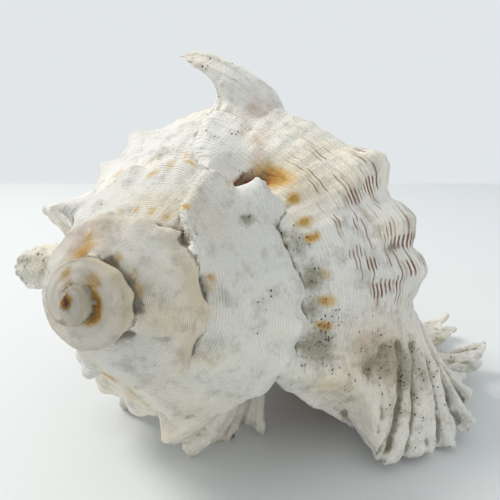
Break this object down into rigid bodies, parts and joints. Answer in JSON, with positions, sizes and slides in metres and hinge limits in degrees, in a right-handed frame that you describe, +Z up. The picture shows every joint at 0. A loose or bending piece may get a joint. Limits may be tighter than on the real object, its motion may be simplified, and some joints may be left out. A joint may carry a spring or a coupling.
{
  "type": "ramose murex shell",
  "caption": "Heavy spired sea shell lying on its mouth, with frilled ribs, a spined shoulder, a flared lip and a short grooved canal.",
  "frame": {"origin": "bottom centre of the bounding box, on the ground that the shell rests on", "axes": "+Z up, -Y towards the apex, +X towards the flared lip"},
  "size_m": [0.1126, 0.17, 0.0859],
  "materials": {
    "shell": "matt, chalky, worn"
  },
  "bodies": {
    "root": {"shell": "shell"}
  },
  "joints": []
}
